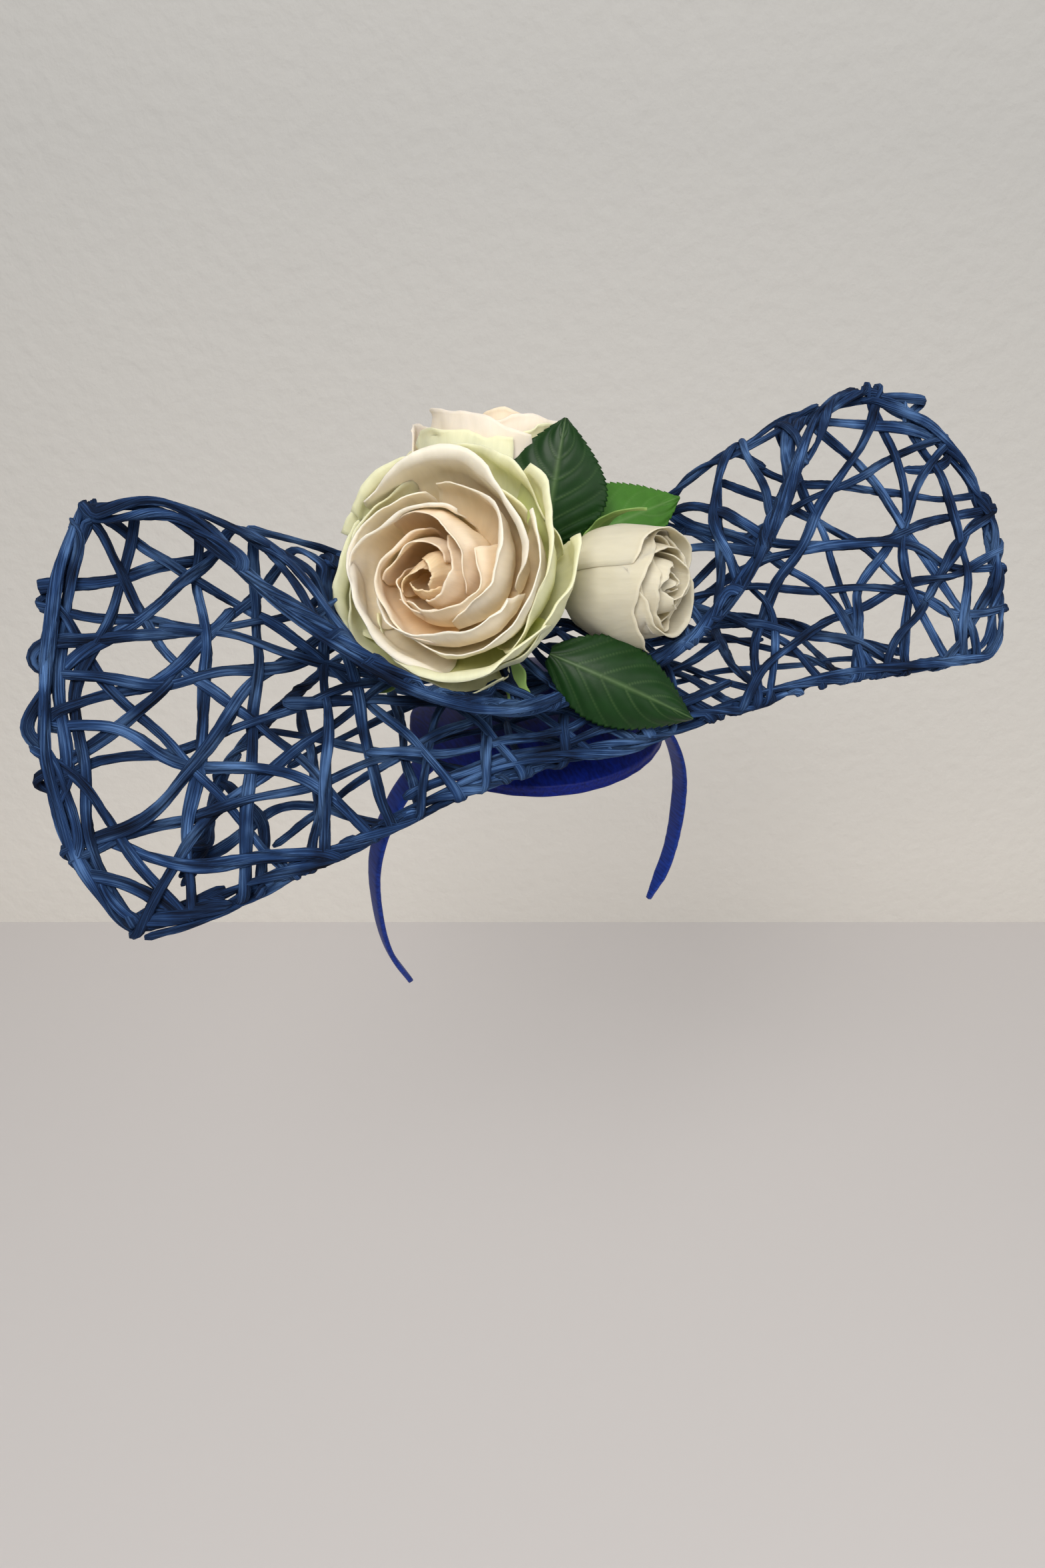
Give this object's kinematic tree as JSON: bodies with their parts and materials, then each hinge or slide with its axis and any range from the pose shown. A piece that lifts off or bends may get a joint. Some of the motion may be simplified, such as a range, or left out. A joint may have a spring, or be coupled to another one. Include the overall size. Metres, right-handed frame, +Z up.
{
  "type": "lattice fascinator hat on a headband",
  "caption": "Fascinator hat: a wide open roll of paper cord lattice on a low satin cap and headband, trimmed with roses, a rosebud and leaves.",
  "frame": {"origin": "crown of the wearer's head, on the inner face of the headband at its middle", "axes": "+X to the wearer's left ear, along the roll; -Y the way the wearer faces; +Z up"},
  "size_m": [0.4173, 0.1657, 0.2562],
  "materials": {
    "paper_cord": "matte twisted paper cord",
    "royal_satin": "satin weave",
    "peach_petal": "matte pressed cloth",
    "cream_petal": "matte pressed cloth",
    "ivory_petal": "matte pressed cloth",
    "dark_leaf": "coated pressed cloth",
    "mid_leaf": "coated pressed cloth"
  },
  "bodies": {
    "root": {"headband": "royal_satin", "base_cap": "royal_satin", "rose_stem": "mid_leaf", "rose_core": "peach_petal", "rose_petal_1": "peach_petal", "rose_petal_2": "peach_petal", "rose_petal_3": "peach_petal", "rose_petal_4": "peach_petal", "rose_petal_5": "peach_petal", "rose_petal_6": "peach_petal", "rose_petal_7": "peach_petal", "rose_petal_8": "peach_petal", "rose_petal_9": "peach_petal", "rose_petal_10": "peach_petal", "rose_petal_11": "peach_petal", "rose_petal_12": "peach_petal", "rose_sepal_1": "mid_leaf", "rose_sepal_2": "mid_leaf", "back_rose_stem": "mid_leaf", "back_rose_core": "cream_petal", "back_rose_petal_1": "cream_petal", "back_rose_petal_2": "cream_petal", "back_rose_petal_3": "cream_petal", "back_rose_petal_4": "cream_petal", "back_rose_petal_5": "cream_petal", "back_rose_petal_6": "cream_petal", "back_rose_petal_7": "cream_petal", "back_rose_petal_8": "cream_petal", "back_rose_petal_9": "cream_petal", "bud_stem": "mid_leaf", "bud_core": "ivory_petal", "bud_petal_1": "ivory_petal", "bud_petal_2": "ivory_petal", "bud_petal_3": "ivory_petal", "bud_petal_4": "ivory_petal", "bud_sepal_1": "mid_leaf", "bud_sepal_2": "mid_leaf", "bud_sepal_3": "mid_leaf", "leaf_upper": "dark_leaf", "leaf_side": "mid_leaf", "leaf_lower": "dark_leaf", "net": "paper_cord"}
  },
  "joints": []
}
